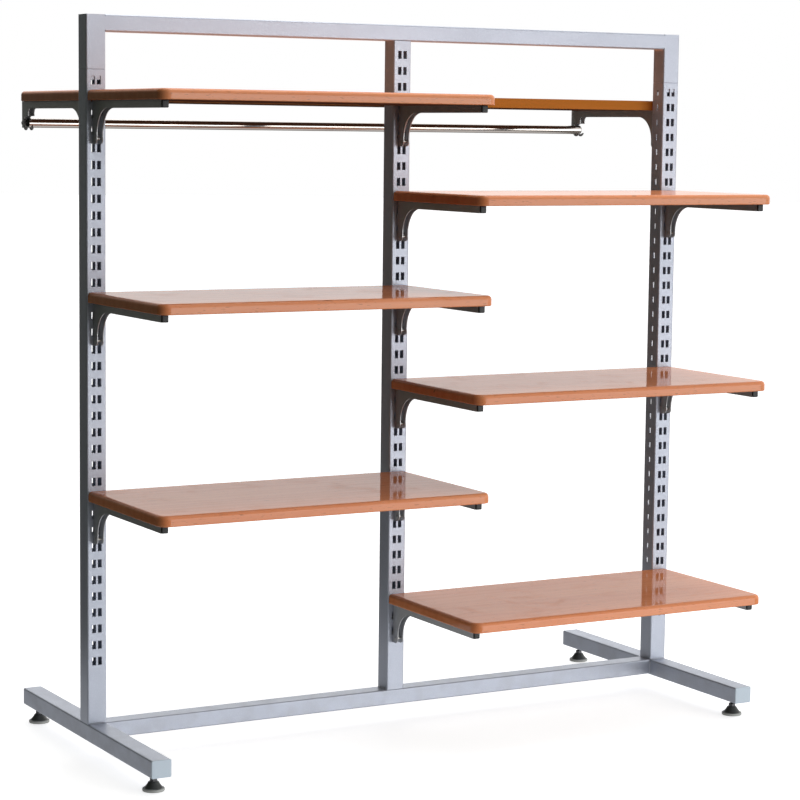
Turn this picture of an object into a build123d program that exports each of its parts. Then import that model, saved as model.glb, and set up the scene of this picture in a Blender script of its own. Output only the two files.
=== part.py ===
"""Gondola shelving unit: a two-bay display rack with six front shelves, a rear shelf and a hang rail.

Frame: X along the rack, -Y is the shopper's side, +Z up.
Origin: on the floor, under the centre of the middle upright. Millimetres.
"""
from build123d import *
import os

# ---------------------------------------------------------------- frame
bay_width = 665.0            # centre to centre of neighbouring uprights
tube_width = 40.0            # square upright; also the width of feet, beam and rail
tube_wall = 2.0
tube_corner = 3.0            # outer corner radius of every tube
frame_height = 1368.0        # top of the feet to top of the header rail
rail_height = 32.0           # section height of the header rail and the bottom beam
foot_height = 34.0
foot_length = 664.0          # front to back, over the end caps
ground_clearance = 32.0      # floor to the underside of the feet
cap_flange = 2.5             # foot end cap outside the tube
cap_plug = 12.0              # foot end cap inside the tube
cap_clearance = 0.2
header_leg_height = 103.0    # top of the header rail to the seam on an outer upright
swage_length = 20.0          # reduced end of a header leg, inside the upright
swage_clearance = 0.25
swage_corner = 1.0           # inner corner radius of the reduced end
seam_chamfer = 0.6           # on both tube ends at the seam

# ---------------------------------------------------------------- slots
slot_pitch = 32.0
slot_height = 16.0
slot_width = 8.0             # on the shopper's side
rear_slot_width = 4.0
slot_spacing = 12.0          # centre to centre of the two columns
lowest_slot = 124.0          # above the top of the feet
side_slot_width = 4.0        # single column on the inner face of each outer upright
side_slot_height = 12.0

# ---------------------------------------------------------------- shelves
board_overhang = 17.5        # past the centre line of each upright
board_thickness = 20.0
board_depth = 345.0
rear_board_depth = 330.0
board_gap = 1.0              # board edge to upright face
board_corner = 20.0          # front corners, seen from above
board_nose = 8.0             # rounding of the top front edge
board_foot_edge = 2.0        # rounding of the bottom front edge
left_shelf_slots = [8, 20, -4]    # lowest slot that each bracket hooks into, from the bottom,
right_shelf_slots = [0, 14, -10]  # or below 0, counted down from the top of an outer upright
rear_shelf_slot = -4

# ---------------------------------------------------------------- brackets
plate = 1.5                  # sheet thickness
arm_height = 14.5
arm_reach = 322.0            # front arm, without its plug
face_clearance = 0.3         # bracket edge to upright face
board_above_slot = 58.0      # board underside above the lower hook's slot centre
gusset_height = 82.0         # board underside to the lower tip
gusset_tip = 20.0            # width of the lower tip
gusset_curve = 50.0          # radius of the concave edge
tip_round = 10.0
hook_neck = 7.0              # height of the neck in the slot
hook_lip = 2.5               # thickness of the lip behind the wall
hook_drop = 6.0              # how far the lip hangs below the neck
hook_clearance = 0.4         # lip to the inside of the wall
hook_bevel = 1.0             # on the lip's rear corners
seat_clearance = 0.1         # neck to the lower edge of the slot
plug_flange = 4.0
plug_depth = 14.0
plug_clearance = 0.2

# ---------------------------------------------------------------- hang rail and its brackets
rear_arm_reach = 338.0
drop_width = 36.0            # of the plates that drop down to the rail
drop_corner = 8.0            # inner corner between an arm and its drop plate
rail_diameter = 19.0
rail_wall = 1.5
rail_from_tip = 20.0         # rail axis to the rear end of the arm
rail_below_board = 43.5      # rail axis below the board's underside
rail_clearance = 0.3         # rail to its cradle
rail_lift = 4.0              # travel that clears the cradle's front lip
cradle_wall = 5.0
cradle_lip = 2.5             # height of the front lip above the cradle's floor
rail_end_inset = 2.0         # rail end short of the outer plate
rail_cap = 2.0
rail_plug = 6.0              # length of the cap's plug inside the rail
screw_shank = 5.0            # retaining screw
screw_head = 12.0
screw_head_length = 4.5
screw_standoff = 3.5         # head to the plate, the screw not fully home
screw_flutes = 16
screw_flute = 0.5            # radius of each flute
weld_nut_length = 5.0
weld_nut_height = 12.0

# ---------------------------------------------------------------- fasteners and levelling feet
board_screw_shank = 4.0
board_screw_head = 7.0
board_screw_head_height = 2.2
board_screw_grip = 12.0      # depth of its hole in the board
screw_shortfall = 1.0        # screws and bolts end this far short of their blind holes
board_screw_inset = 60.0     # from each end of an arm
pin_diameter = 6.0           # spacer pin through the gusset tip
pin_head = 8.5
pin_head_height = 1.2
fit_clearance = 0.05         # radial, of screws and pins in their holes
stud_diameter = 8.0
stud_clearance = 0.08
stud_headroom = 3.0          # top of the stud below the tube's upper wall
stud_bevel = 1.0             # at the top of the stud
level_inset = 38.0           # levelling foot axis from the end of a foot
pad_diameter = 42.0
pad_rim = 6.0
pad_neck = 20.0              # diameter at the top of the cone
pad_height = 18.0
pad_socket = 8.0             # depth of the stud's seat in the pad
pad_bevel = 1.0              # on both edges of the rim
nut_flats = 13.0
nut_height = 6.5
insert_length = 30.0
insert_height = 8.0
top_bolt_shank = 8.0
top_bolt_head = 13.0
top_bolt_head_height = 5.0
top_bolt_grip = 12.0
top_access_hole = 16.0       # in the rail's upper wall, for the bolt's head
top_insert_height = 15.0

# ---------------------------------------------------------------- worked out from the above
foot_top = ground_clearance + foot_height
rack_top = foot_top + frame_height
seam_height = rack_top - header_leg_height
half_tube = tube_width / 2
bore = tube_width - 2 * tube_wall
bore_corner = tube_corner - tube_wall / 2
outer_height = frame_height - header_leg_height
middle_height = frame_height - rail_height       # the middle upright has no header leg, so more slots
outer_slot_count = int((outer_height - lowest_slot - slot_height / 2) // slot_pitch) + 1
middle_slot_count = int((middle_height - lowest_slot - slot_height / 2) // slot_pitch) + 1
cut = 2.0                    # how far a cutting solid passes the surface it cuts
plate_centre = slot_spacing / 2
channel_width = slot_spacing + plate
channel_gap = slot_spacing - plate
rail_reach = rear_arm_reach - rail_from_tip
upright_x = {"left": -bay_width, "middle": 0.0, "right": bay_width}
sides = {"left": -1, "right": 1}
ends = {"front": -1, "rear": 1}

nodes = {}


def tube(width, depth, length):
    """Rectangular tube standing on the XY plane."""
    outer = RectangleRounded(width, depth, tube_corner)
    inner = RectangleRounded(width - 2 * tube_wall, depth - 2 * tube_wall, bore_corner)
    return extrude(outer - inner, length)


def along_x(shape):
    """Turn a solid that stands on Z so that it lies along +X, its section's Y becoming Z."""
    return Rot(0, 90, 0) * Rot(0, 0, 90) * shape


def along_y(shape):
    """Turn a solid that stands on Z so that it lies along +Y."""
    return Rot(-90, 0, 0) * shape


def side_plate(profile, x):
    """Sheet of the bracket's thickness, drawn in the YZ plane and centred on x."""
    return Pos(x - plate / 2, 0, 0) * extrude(Plane.YZ * profile, plate)


# ================================================================ frame
def slot_cutters(count, spacing, width, height, depth):
    """Boxes for a ladder of slots, the lowest row centred on the lowest slot's height."""
    cutters = []
    for row in range(count):
        z = lowest_slot + row * slot_pitch
        for x in spacing:
            cutters.append(Pos(x, 0, z) * Box(width, depth, height))
    return cutters


def upright(height, count):
    """Slotted tube, double-sided, standing on the XY plane."""
    columns = [-slot_spacing / 2, slot_spacing / 2]
    wall_centre = half_tube - tube_wall / 2
    body = tube(tube_width, tube_width, height)
    for y, width in ((-wall_centre, slot_width), (wall_centre, rear_slot_width)):
        cutters = slot_cutters(count, columns, width, slot_height, tube_wall + cut)
        body -= [Pos(0, y, 0) * cutter for cutter in cutters]
    return body


def outer_upright(inner_side):
    """Upright with a further column of slots on the face towards the middle, its top edge chamfered."""
    body = upright(outer_height, outer_slot_count)
    body = chamfer(body.faces().sort_by(Axis.Z)[-1].outer_wire().edges(), seam_chamfer)
    cutters = slot_cutters(outer_slot_count, [0.0], tube_wall + cut, side_slot_height, side_slot_width)
    place = Pos(inner_side * (half_tube - tube_wall / 2), 0, 0)
    return body - [place * cutter for cutter in cutters]


def make_uprights():
    for side, sign in sides.items():
        nodes[f"{side}_upright"] = Pos(upright_x[side], 0, foot_top) * outer_upright(-sign)
    nodes["middle_upright"] = Pos(0, 0, foot_top) * upright(middle_height, middle_slot_count)


def make_feet():
    tube_length = foot_length - 2 * cap_flange
    stud_hole = stud_diameter / 2 + stud_clearance
    for side in sides:
        body = Pos(0, -tube_length / 2, 0) * along_y(tube(tube_width, foot_height, tube_length))
        for sign in ends.values():
            y = sign * (foot_length / 2 - level_inset)
            body -= Pos(0, y, -foot_height / 2) * Cylinder(stud_hole, 2 * tube_wall + cut)
        nodes[f"{side}_foot"] = Pos(upright_x[side], 0, foot_top - foot_height / 2) * body


def foot_cap():
    """End cap with its flange on the XY plane and its plug pointing down."""
    plug_width = bore - 2 * cap_clearance
    plug_height = foot_height - 2 * tube_wall - 2 * cap_clearance
    flange = extrude(RectangleRounded(tube_width, foot_height, tube_corner), cap_flange)
    flange = chamfer(flange.faces().sort_by(Axis.Z)[-1].edges(), cap_flange / 3)
    plug = extrude(RectangleRounded(plug_width, plug_height, tube_corner), -cap_plug)
    return flange + plug


def make_foot_caps():
    caps = []
    for side in sides:
        for sign in ends.values():
            y = sign * (foot_length / 2 - cap_flange)
            turn = Rot(-90 * sign, 0, 0)
            caps.append(Pos(upright_x[side], y, foot_top - foot_height / 2) * turn * foot_cap())
    nodes["foot_end_caps"] = Compound(children=caps)


def make_beam():
    length = 2 * bay_width - tube_width
    body = along_x(tube(tube_width, rail_height, length))
    nodes["bottom_beam"] = Pos(-length / 2, 0, foot_top - rail_height / 2) * body


def header_leg():
    """Leg from the rack's top down to the seam, closed at the top, its lower end swaged."""
    body = tube(tube_width, tube_width, header_leg_height)
    body = chamfer(body.faces().sort_by(Axis.Z)[0].outer_wire().edges(), seam_chamfer)
    top = extrude(RectangleRounded(bore, bore, bore_corner), tube_wall)
    body += Pos(0, 0, header_leg_height - tube_wall) * top
    spigot = bore - 2 * swage_clearance
    spigot_bore = RectangleRounded(spigot - 2 * tube_wall, spigot - 2 * tube_wall, swage_corner)
    neck = RectangleRounded(spigot, spigot, bore_corner) - spigot_bore
    shoulder = RectangleRounded(tube_width - tube_wall, tube_width - tube_wall, bore_corner) - spigot_bore
    swage = Pos(0, 0, -swage_length) * extrude(neck, swage_length + tube_wall)
    return body + swage + extrude(shoulder, tube_wall)


def make_header():
    for side in sides:
        nodes[f"{side}_header_leg"] = Pos(upright_x[side], 0, seam_height) * header_leg()
    length = 2 * bay_width - tube_width
    body = Pos(-length / 2, 0, 0) * along_x(tube(tube_width, rail_height, length))
    upper_wall = rail_height / 2 - tube_wall / 2
    body -= Pos(0, 0, upper_wall) * Cylinder(top_access_hole / 2, tube_wall + cut)
    body -= Pos(0, 0, -upper_wall) * Cylinder(top_bolt_shank / 2 + fit_clearance, tube_wall + cut)
    nodes["header_rail"] = Pos(0, 0, rack_top - rail_height / 2) * body
    rail_underside = rack_top - rail_height
    insert = Pos(0, 0, -top_insert_height / 2) * Box(bore, bore, top_insert_height)
    insert -= Pos(0, 0, -top_bolt_grip / 2) * Cylinder(top_bolt_shank / 2 + fit_clearance, top_bolt_grip + cut)
    insert = fillet(insert.edges().filter_by(Axis.Z).group_by(SortBy.DISTANCE)[-1], bore_corner)
    nodes["middle_upright_insert"] = Pos(0, 0, rail_underside) * insert
    head_seat = rail_underside + tube_wall
    shank_length = tube_wall + top_bolt_grip - screw_shortfall
    bolt = Pos(0, 0, -shank_length / 2) * Cylinder(top_bolt_shank / 2, shank_length)
    head = Pos(0, 0, top_bolt_head_height / 2) * Cylinder(top_bolt_head / 2, top_bolt_head_height)
    socket = extrude(RegularPolygon(top_bolt_head / 4, 6), top_bolt_head_height / 2)
    head -= Pos(0, 0, top_bolt_head_height / 2) * socket
    nodes["middle_upright_bolt"] = Pos(0, 0, head_seat) * (bolt + head)


# ================================================================ levelling feet
def levelling_stud():
    """Stud with its lock nut, standing in the pad's socket; z = 0 is the floor."""
    bottom = pad_height - pad_socket
    top = foot_top - tube_wall - stud_headroom
    stud = Pos(0, 0, (bottom + top) / 2) * Cylinder(stud_diameter / 2, top - bottom)
    stud = chamfer(stud.faces().sort_by(Axis.Z)[-1].edges(), stud_bevel)
    nut = Pos(0, 0, pad_height) * extrude(RegularPolygon(nut_flats / 2, 6, major_radius=False), nut_height)
    return stud + nut


def levelling_pad():
    """Round pad: a straight rim, a cone, and a socket for the stud."""
    rim = pad_diameter / 2
    outline = Polyline((0, 0), (rim - pad_bevel, 0), (rim, pad_bevel), (rim, pad_rim - pad_bevel),
                       (rim - pad_bevel, pad_rim), (pad_neck / 2, pad_height), (0, pad_height), close=True)
    body = revolve(Plane.XZ * make_face(outline), Axis.Z)
    socket = Cylinder(stud_diameter / 2 + fit_clearance, pad_socket)
    return body - Pos(0, 0, pad_height - pad_socket / 2) * socket


def make_levelling_feet():
    inserts = []
    for side in sides:
        for end, sign in ends.items():
            place = Pos(upright_x[side], sign * (foot_length / 2 - level_inset), 0)
            nodes[f"{end}_{side}_levelling_stud"] = place * levelling_stud()
            nodes[f"{end}_{side}_levelling_pad"] = place * levelling_pad()
            insert = Box(insert_length, insert_length, insert_height)
            insert -= Cylinder(stud_diameter / 2 + stud_clearance, insert_height + cut)
            inserts.append(place * Pos(0, 0, ground_clearance + tube_wall + insert_height / 2) * insert)
    nodes["foot_threaded_inserts"] = Compound(children=inserts)


# ================================================================ boards
def board(length, depth, screw_spots, rounded):
    """Board with its rear edge on y = 0, reaching to -y, its underside on z = 0."""
    body = Pos(0, -depth / 2, board_thickness / 2) * Box(length, depth, board_thickness)
    if rounded:
        upright_edges = body.edges().filter_by(Axis.Z).group_by(Axis.Y)[0]
        body = fillet(upright_edges, board_corner)
        top_edges = body.faces().sort_by(Axis.Z)[-1].edges()
        body = fillet([edge for edge in top_edges if edge.center().Y < -cut], board_nose)
        low_edges = body.faces().sort_by(Axis.Z)[0].edges()
        body = fillet([edge for edge in low_edges if edge.center().Y < -depth + board_corner], board_foot_edge)
    for x, y in screw_spots:
        hole = Cylinder(board_screw_shank / 2 + fit_clearance, board_screw_grip + cut)
        body -= Pos(x, y, (board_screw_grip - cut) / 2) * hole
    return body


# ================================================================ brackets
def hook_profile(slot_z):
    """Neck through a slot and the lip behind the wall; the upright's face is on y = 0."""
    neck_low = slot_z - slot_height / 2 + seat_clearance
    neck_high = neck_low + hook_neck
    lip_front = tube_wall + hook_clearance
    lip_back = lip_front + hook_lip
    lip_low = neck_low - hook_drop
    outline = Polyline((-face_clearance - cut, neck_low), (lip_front, neck_low),
                       (lip_front, lip_low), (lip_back - hook_bevel, lip_low),
                       (lip_back, lip_low + hook_bevel), (lip_back, neck_high - hook_bevel),
                       (lip_back - hook_bevel, neck_high), (-face_clearance - cut, neck_high), close=True)
    return make_face(outline)


def arm_profile(reach):
    """Arm with its gusset and two hooks, board underside on z = 0, reaching to -y."""
    rear = -face_clearance
    tip = rear - gusset_tip
    curve_start = tip - gusset_curve
    curve_end = -arm_height - gusset_curve
    half_chord = gusset_curve * (1 - 2 ** -0.5)
    edges = [
        Line((rear, 0), (-reach, 0)),
        Line((-reach, 0), (-reach, -arm_height)),
        Line((-reach, -arm_height), (curve_start, -arm_height)),
        ThreePointArc((curve_start, -arm_height), (tip - half_chord, -arm_height - half_chord), (tip, curve_end)),
        Line((tip, curve_end), (tip, -gusset_height + tip_round)),
        RadiusArc((tip, -gusset_height + tip_round), (tip + tip_round, -gusset_height), -tip_round),
        Line((tip + tip_round, -gusset_height), (rear, -gusset_height)),
        Line((rear, -gusset_height), (rear, 0)),
    ]
    profile = make_face(edges)
    profile += hook_profile(slot_pitch - board_above_slot)
    profile += hook_profile(-board_above_slot)
    pin_hole = Circle(pin_diameter / 2 + fit_clearance)
    return profile - Pos(*pin_centre()) * pin_hole


def pin_centre():
    """Spacer pin, near the lower tip of the gusset: y, z."""
    return (-face_clearance - gusset_tip / 2, -gusset_height + gusset_tip / 2)


def screw_spots(reach):
    """The two board screws of one arm, as distances from the upright's face."""
    return [board_screw_inset, reach - board_screw_inset]


def channel(profile, reach):
    """Two side plates joined by a web under the board."""
    web = Pos(0, -(reach + face_clearance) / 2, -plate / 2) * Box(channel_gap, reach - face_clearance, plate)
    for y in screw_spots(reach):
        web -= Pos(0, -y, -plate / 2) * Cylinder(board_screw_shank / 2 + fit_clearance, plate + cut)
    return web + side_plate(profile, -plate_centre) + side_plate(profile, plate_centre)


def front_bracket():
    return channel(arm_profile(arm_reach), arm_reach)


def rail_cradle():
    """Profile of the drop plate: its cradle holds the rail's round, open to the front."""
    axis_y = -rail_reach
    axis_z = -rail_below_board
    seat = rail_diameter / 2 + rail_clearance
    outside = seat + cradle_wall
    drop = Pos(-rear_arm_reach + drop_width / 2, axis_z / 2) * Rectangle(drop_width, rail_below_board)
    hook = Pos(axis_y, axis_z) * Circle(outside)
    back_low = Pos((axis_y - rear_arm_reach) / 2, axis_z - seat / 2) * Rectangle(rail_from_tip, seat)
    profile = drop + hook + back_low
    profile -= Pos(axis_y, axis_z) * Circle(seat)
    profile -= Pos(axis_y, axis_z + rail_lift) * Circle(seat)
    profile -= Pos(axis_y, axis_z + rail_lift / 2) * Rectangle(2 * seat, rail_lift)
    mouth_low = axis_z - seat + cradle_lip
    mouth_high = axis_z + seat + rail_lift
    mouth_depth = drop_width
    mouth = Rectangle(mouth_depth, mouth_high - mouth_low)
    return profile - Pos(axis_y + mouth_depth / 2, (mouth_low + mouth_high) / 2) * mouth


def rear_bracket():
    """Long arm whose plates drop at the end into a cradle; drawn reaching to -y like a front one."""
    profile = arm_profile(rear_arm_reach) + rail_cradle()
    inner = profile.vertices().sort_by_distance((-rear_arm_reach + drop_width, -arm_height))[0]
    body = channel(fillet(inner, drop_corner), rear_arm_reach)
    back_height = rail_below_board + rail_diameter / 2
    back = Pos(0, -rear_arm_reach + plate / 2, -back_height / 2) * Box(channel_gap, plate, back_height)
    nut_y = -rear_arm_reach + plate + weld_nut_length / 2
    nut = Pos(0, nut_y, -rail_below_board) * Box(channel_gap, weld_nut_length, weld_nut_height)
    body += back + nut
    hole = along_y(Cylinder(screw_shank / 2 + fit_clearance, 2 * (weld_nut_length + plate) + cut))
    return body - Pos(0, -rear_arm_reach, -rail_below_board) * hole


def end_plug():
    """Plug in the front end of an arm, its flange outside."""
    inside = arm_height - plate
    body = Pos(0, plug_depth / 2, -plate - inside / 2)
    body *= Box(channel_gap - 2 * plug_clearance, plug_depth, inside - 2 * plug_clearance)
    flange = Pos(0, -plug_flange / 2, -arm_height / 2) * Box(channel_width, plug_flange, arm_height)
    front_edges = flange.faces().sort_by(Axis.Y)[0].edges()
    return Pos(0, -arm_reach, 0) * (body + fillet(front_edges, plug_flange / 2))


def board_screw():
    """Screw up through the web into the board; z = 0 is the board's underside."""
    length = plate + board_screw_grip - screw_shortfall
    shank = Pos(0, 0, length / 2 - plate) * Cylinder(board_screw_shank / 2, length)
    head = Pos(0, 0, -plate - board_screw_head_height / 2)
    head *= Cylinder(board_screw_head / 2, board_screw_head_height)
    head = chamfer(head.faces().sort_by(Axis.Z)[0].edges(), board_screw_head_height / 3)
    return shank + head


def spacer_pin():
    """Riveted pin that holds the two plates of a gusset apart."""
    shank = along_x(Pos(0, 0, -channel_width / 2) * extrude(Circle(pin_diameter / 2), channel_width))
    head = extrude(Circle(pin_head / 2), pin_head_height)
    head = chamfer(head.faces().sort_by(Axis.Z)[-1].edges(), pin_head_height / 2)
    heads = Pos(channel_width / 2, 0, 0) * Rot(0, 90, 0) * head
    heads += Pos(-channel_width / 2, 0, 0) * Rot(0, -90, 0) * head
    return Pos(0, *pin_centre()) * (shank + heads)


def fasteners(columns, reach):
    """Screws and pins of one shelf, with its brackets centred on the given x."""
    pieces = []
    for x in columns:
        pieces.append(Pos(x, 0, 0) * spacer_pin())
        for y in screw_spots(reach):
            pieces.append(Pos(x, -y, 0) * board_screw())
    return pieces


def shelf_height(slot):
    """Underside of a board whose lower hooks sit in the given slot."""
    row = slot % outer_slot_count
    return foot_top + lowest_slot + row * slot_pitch + board_above_slot


def make_front_shelf(name, slot, columns):
    centre = sum(columns) / 2
    spots = [(x - centre, board_gap - y) for x in columns for y in screw_spots(arm_reach)]
    length = columns[1] - columns[0] + 2 * board_overhang
    place = Pos(0, -half_tube, shelf_height(slot))
    nodes[f"{name}_board"] = place * Pos(centre, -board_gap, 0) * board(length, board_depth, spots, True)
    for side, x in zip(sides, columns):
        nodes[f"{name}_{side}_bracket"] = place * Pos(x, 0, 0) * front_bracket()
    plugs = [place * Pos(x, 0, 0) * end_plug() for x in columns]
    nodes[f"{name}_end_plugs"] = Compound(children=plugs)
    pieces = [place * piece for piece in fasteners(columns, arm_reach)]
    nodes[f"{name}_fasteners"] = Compound(children=pieces)


def make_front_shelves():
    levels = ["lower", "middle", "upper"]
    bays = {
        "left": (left_shelf_slots, [upright_x["left"], 0.0]),
        "right": (right_shelf_slots, [0.0, upright_x["right"]]),
    }
    for bay, (slots, columns) in bays.items():
        for level, slot in zip(levels, slots):
            make_front_shelf(f"{bay}_{level}_shelf", slot, columns)


# ================================================================ rear shelf and hang rail
def retaining_screw():
    """Knurled screw along +Y; its tip ends just short of the rail, whose axis is y = 0."""
    tip = rail_diameter / 2 + rail_clearance
    head_start = rail_from_tip + screw_standoff
    shank = Pos(0, tip, 0) * along_y(extrude(Circle(screw_shank / 2), head_start - tip))
    knurl = Circle(screw_head / 2)
    knurl -= PolarLocations(screw_head / 2, screw_flutes) * Circle(screw_flute)
    return shank + Pos(0, head_start, 0) * along_y(extrude(knurl, screw_head_length))


def make_rear_shelf():
    columns = [upright_x["left"], upright_x["right"]]
    place = Pos(0, half_tube, shelf_height(rear_shelf_slot))
    turned = Rot(0, 0, 180)
    spots = [(x, board_gap - y) for x in columns for y in screw_spots(rear_arm_reach)]
    length = 2 * bay_width + 2 * board_overhang
    body = board(length, rear_board_depth, spots, True)
    nodes["rear_shelf_board"] = place * turned * Pos(0, -board_gap, 0) * body
    for side, x in zip(sides, columns):
        nodes[f"rear_shelf_{side}_bracket"] = place * Pos(x, 0, 0) * turned * rear_bracket()
        rail_axis = Pos(x, rail_reach, -rail_below_board)
        nodes[f"{side}_retaining_screw"] = place * rail_axis * retaining_screw()
    pieces = [place * turned * piece for piece in fasteners(columns, rear_arm_reach)]
    nodes["rear_shelf_fasteners"] = Compound(children=pieces)


def make_hang_rail():
    inner_face = bay_width + channel_gap / 2
    half_length = inner_face - rail_end_inset - rail_cap
    ring = Circle(rail_diameter / 2) - Circle(rail_diameter / 2 - rail_wall)
    place = Pos(0, half_tube + rail_reach, shelf_height(rear_shelf_slot) - rail_below_board)
    nodes["hang_rail"] = place * Pos(-half_length, 0, 0) * along_x(extrude(ring, 2 * half_length))
    cap = extrude(Circle(rail_diameter / 2), rail_cap)
    cap += extrude(Circle(rail_diameter / 2 - rail_wall - fit_clearance), -rail_plug)
    caps = [place * Pos(half_length * sign, 0, 0) * Rot(0, 90 * sign, 0) * cap for sign in sides.values()]
    nodes["hang_rail_caps"] = Compound(children=caps)


make_uprights()
make_feet()
make_foot_caps()
make_beam()
make_header()
make_levelling_feet()
make_front_shelves()
make_rear_shelf()
make_hang_rail()

os.makedirs("parts", exist_ok=True)
for name, shape in nodes.items():
    export_step(shape, f"parts/{name}.step")
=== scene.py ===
"""Finishes and detail pieces of a two-bay gondola shelving unit, laid out as a Blender add-on.

Metres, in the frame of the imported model: X along the rack, -Y is the shopper's side, +Z up.
"""
import math

import bmesh
import bpy
from bpy.props import FloatProperty, FloatVectorProperty, IntProperty, PointerProperty
from mathutils import Matrix, Vector


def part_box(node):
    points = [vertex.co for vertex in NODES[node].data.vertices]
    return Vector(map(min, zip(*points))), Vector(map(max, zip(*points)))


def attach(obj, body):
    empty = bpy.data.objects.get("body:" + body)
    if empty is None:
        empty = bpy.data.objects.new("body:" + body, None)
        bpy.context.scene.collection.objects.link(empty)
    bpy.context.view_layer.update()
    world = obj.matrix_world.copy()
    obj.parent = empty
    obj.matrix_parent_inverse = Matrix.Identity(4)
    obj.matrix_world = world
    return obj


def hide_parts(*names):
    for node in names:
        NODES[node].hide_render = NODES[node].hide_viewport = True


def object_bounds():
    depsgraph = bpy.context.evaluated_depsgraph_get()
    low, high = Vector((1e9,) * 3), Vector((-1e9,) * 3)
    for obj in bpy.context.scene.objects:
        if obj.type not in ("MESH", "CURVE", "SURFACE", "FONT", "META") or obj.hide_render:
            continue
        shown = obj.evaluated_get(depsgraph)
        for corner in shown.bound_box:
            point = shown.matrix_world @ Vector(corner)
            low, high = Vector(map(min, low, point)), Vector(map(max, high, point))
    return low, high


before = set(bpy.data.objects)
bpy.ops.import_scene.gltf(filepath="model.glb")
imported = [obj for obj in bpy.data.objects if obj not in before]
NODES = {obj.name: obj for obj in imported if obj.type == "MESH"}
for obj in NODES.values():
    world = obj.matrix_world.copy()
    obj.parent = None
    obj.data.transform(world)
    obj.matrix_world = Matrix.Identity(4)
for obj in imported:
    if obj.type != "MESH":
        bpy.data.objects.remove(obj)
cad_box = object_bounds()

bl_info = {
    "name": "Gondola shelving unit",
    "version": (1, 0, 0),
    "blender": (4, 5, 0),
    "location": "3D View > Sidebar > Gondola",
    "description": "Powder coat, laminate, chrome and the small pieces of a slotted shelving unit",
    "category": "Object",
}

SIDES = {"left": -1, "right": 1}
ENDS = {"front": -1, "rear": 1}
SHELVES = [f"{bay}_{level}_shelf" for bay in SIDES for level in ("lower", "middle", "upper")]
MM = 0.001


# ---------------------------------------------------------------- sizes and colours
def colour(name, description, default):
    return FloatVectorProperty(name=name, description=description, default=default, subtype="COLOR",
                               size=3, min=0.0, max=1.0)


def length(name, description, default):
    return FloatProperty(name=name, description=description, default=default, unit="LENGTH",
                         min=0.0, precision=5)


class GondolaColours(bpy.types.PropertyGroup):
    """Colours of the finishes."""

    paint: colour("Frame paint", "Silver powder coat of the frame", (0.50, 0.54, 0.63))
    bracket_paint: colour("Bracket paint", "Silver powder coat of the brackets", (0.56, 0.57, 0.58))
    bare_steel: colour("Bare steel", "Steel that shows where the paint is rubbed", (0.36, 0.35, 0.34))
    dust: colour("Dust", "Dust on what is near the floor", (0.30, 0.27, 0.24))
    wood_light: colour("Wood, light", "Light streaks of the laminate", (0.95, 0.365, 0.165))
    wood_dark: colour("Wood, dark", "Dark streaks of the laminate", (0.84, 0.265, 0.100))
    wood_pore: colour("Wood, pores", "Short dark flecks of the laminate", (0.30, 0.09, 0.03))
    wood_band: colour("Wood, band", "Matt band on the edge at the uprights", (0.50, 0.19, 0.024))
    # Painted shade: a near-black colour that the boards' undersides get in place of the shade under them
    wood_underside_shade: colour("Wood, backer", "Dark backing sheet under the boards", (0.060, 0.042, 0.032))
    chrome: colour("Chrome", "Plating of the hang rail", (0.72, 0.665, 0.61))
    zinc: colour("Zinc", "Plating of screws, nuts and studs", (0.60, 0.61, 0.62))
    zinc_tint: colour("Zinc tint", "Yellowish passivation on the zinc", (0.58, 0.55, 0.47))
    black_zinc: colour("Black zinc", "Darker plating of the levelling studs", (0.10, 0.10, 0.105))
    plug: colour("End plugs", "Black plastic of the plugs and rail caps", (0.018, 0.019, 0.020))
    cap: colour("Foot caps", "Grey plastic of the foot end caps", (0.60, 0.70, 0.79))
    pad: colour("Pad cone", "Dark plastic of the levelling pads", (0.050, 0.053, 0.050))
    pad_rim: colour("Pad rim", "Scuffed rim of the levelling pads", (0.48, 0.49, 0.47))


class GondolaSizes(bpy.types.PropertyGroup):
    """Sizes of the detail pieces that the CAD leaves plain."""

    bead: length("Weld bead", "Leg length of the fillet welds", 2.8 * MM)
    bead_ripple: length("Weld ripple", "Distance between the ripples of a weld", 1.7 * MM)
    tube_corner: length("Tube corner", "Corner radius of the frame's tubes", 3.0 * MM)
    stud_thread: length("Stud thread", "Pitch of the levelling stud's thread", 1.25 * MM)
    screw_thread: length("Screw thread", "Pitch of the retaining screw's thread", 0.8 * MM)
    pad_flutes: IntProperty(name="Pad flutes", description="Flutes round a pad's rim", default=36, min=3)
    knurl_teeth: IntProperty(name="Knurl teeth", description="Teeth round a thumb screw", default=30, min=3)
    peel: length("Orange peel", "Height of the powder coat's orange peel", 0.035 * MM)


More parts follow.
